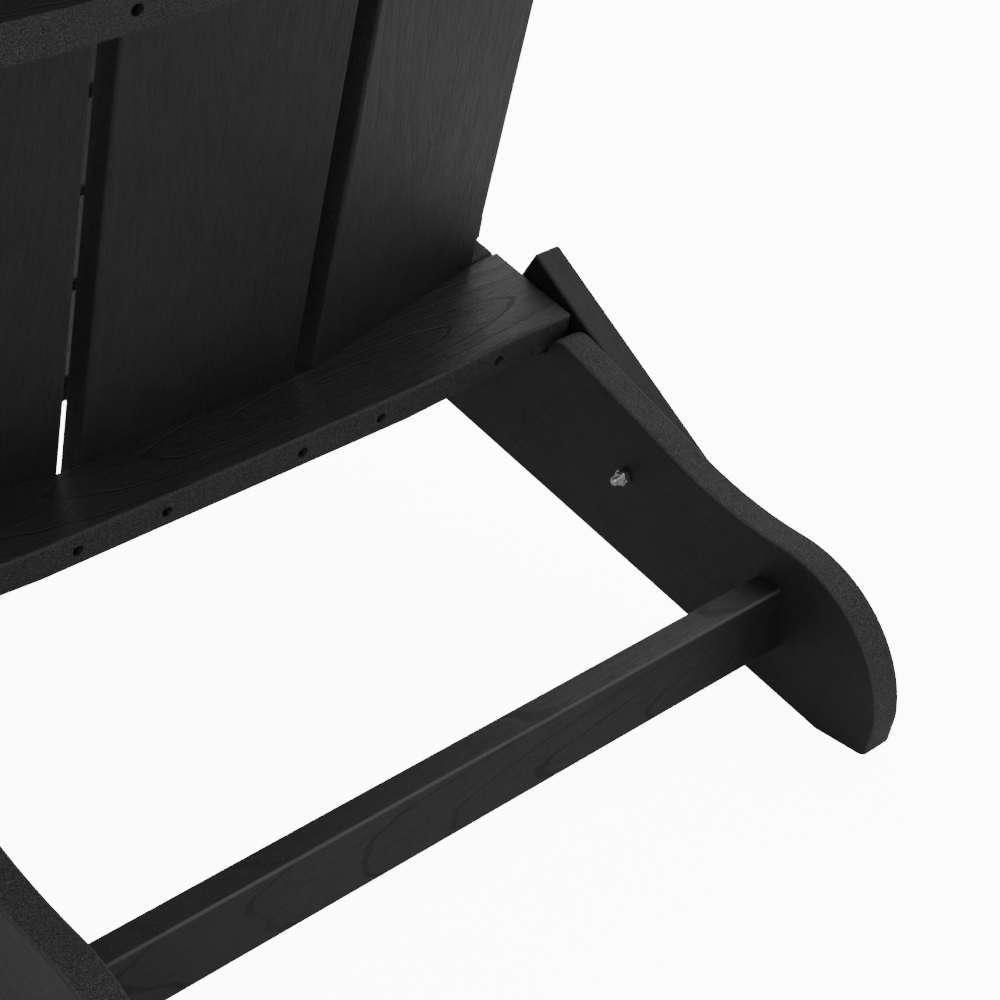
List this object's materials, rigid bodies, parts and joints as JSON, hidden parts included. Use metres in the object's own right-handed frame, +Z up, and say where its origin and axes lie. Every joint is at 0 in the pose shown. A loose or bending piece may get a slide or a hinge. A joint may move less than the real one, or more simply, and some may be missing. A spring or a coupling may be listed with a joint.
{
  "type": "folding adirondack chair",
  "caption": "Folding garden chair in plastic lumber: sloping slatted seat, tall reclined slatted back, wide armrests, linked legs that fold flat with the back.",
  "frame": {"origin": "centre of the footprint on the ground", "axes": "+Z up, the sitter faces -Y, +X to the sitter's left"},
  "size_m": [0.75, 0.8432, 0.9442],
  "materials": {
    "lumber": "matte, embossed wood grain",
    "hardware": "bright stainless",
    "screw": "black coated"
  },
  "bodies": {
    "base": {"leg_pivot_bolts": "hardware", "leg_pivot_locknuts": "hardware", "leg_pivot_washers": "hardware", "link_pivot_bolts": "hardware", "link_pivot_locknuts": "hardware", "link_pivot_washers": "hardware", "rear_stretcher": "lumber", "seat_screws": "screw", "seat_slat_1": "lumber", "seat_slat_2": "lumber", "seat_slat_3": "lumber", "seat_slat_4": "lumber", "seat_slat_5": "lumber", "seat_slat_6": "lumber", "stretcher_screws": "screw", "stringer_left": "lumber", "stringer_right": "lumber"},
    "back_links": {"back_link_left": "lumber", "back_link_right": "lumber"},
    "back": {"arm_rear_pivot_bolts": "hardware", "back_slat_center": "lumber", "back_slat_left": "lumber", "back_slat_right": "lumber", "batten_screws": "screw", "lower_back_rail": "lumber", "lower_rail_screws": "screw", "rail_pivot_bolts": "hardware", "top_back_batten": "lumber", "upper_back_rail": "lumber", "upper_rail_screws": "screw"},
    "arms": {"arm_front_bracket_left": "lumber", "arm_front_bracket_right": "lumber", "arm_front_pivot_bolts": "hardware", "arm_rear_bracket_left": "lumber", "arm_rear_bracket_right": "lumber", "armrest_left": "lumber", "armrest_right": "lumber", "armrest_screws": "screw"},
    "front_legs": {"front_leg_left": "lumber", "front_leg_right": "lumber", "leg_top_locknuts": "hardware", "leg_top_pivot_bolts": "hardware"}
  },
  "joints": [
    {"name": "link_swing", "type": "hinge", "parent": "base", "child": "back_links", "pos_m": [0, 0.20644, 0.11051], "axis": [-1, 0, 0], "range_deg": [0, 76]},
    {"name": "back_fold", "type": "hinge", "parent": "back_links", "child": "back", "pos_m": [0, 0.09491, 0.19195], "axis": [1, 0, 0], "range_deg": [0, 160]},
    {"name": "armrest_fold", "type": "hinge", "parent": "back", "child": "arms", "pos_m": [0, 0.20577, 0.53063], "axis": [-1, 0, 0], "range_deg": [0, 75.19]},
    {"name": "leg_fold", "type": "hinge", "parent": "base", "child": "front_legs", "pos_m": [0, -0.33601, 0.25669], "axis": [1, 0, 0], "range_deg": [0, 81.74]}
  ],
  "couplings": [
    {"joint": "link_swing", "follows": "back_fold", "ratio": 0.475},
    {"joint": "armrest_fold", "follows": "back_fold", "ratio": 0.46991},
    {"joint": "leg_fold", "follows": "back_fold", "ratio": 0.51089}
  ]
}
